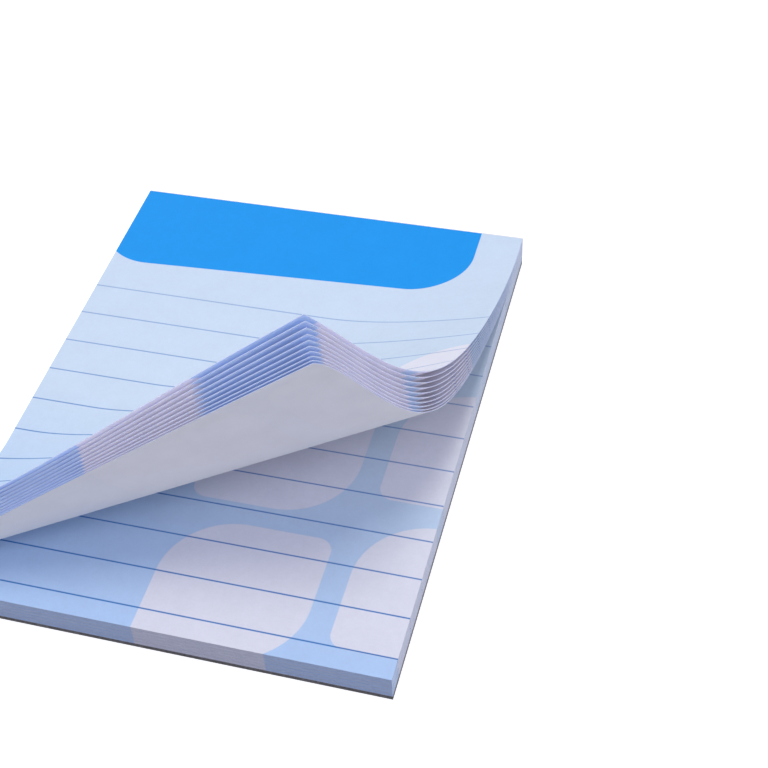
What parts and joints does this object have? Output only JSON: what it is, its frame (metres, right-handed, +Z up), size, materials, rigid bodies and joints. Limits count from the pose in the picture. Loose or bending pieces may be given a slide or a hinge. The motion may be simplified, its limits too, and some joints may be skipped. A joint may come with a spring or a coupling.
{
  "type": "memo pad",
  "caption": "Small glue-bound writing pad of printed, ruled sheets on a grey board, with its top sheets curled up and fanned from the bottom right corner.",
  "frame": {"origin": "centre of the underside, on the surface that the pad rests on", "axes": "+X to the right across the sheets, +Y up the sheets towards the glued edge, +Z up out of the pad"},
  "size_m": [0.0782, 0.1016, 0.056],
  "materials": {
    "printed_paper": "uncoated white paper, printed in blues and pale pink on one face",
    "grey_board": "uncoated grey board",
    "padding_glue": "dried padding glue, slightly glossy"
  },
  "bodies": {
    "root": {"sheets": "printed_paper", "backing_board": "grey_board", "padding_glue": "padding_glue"}
  },
  "joints": []
}
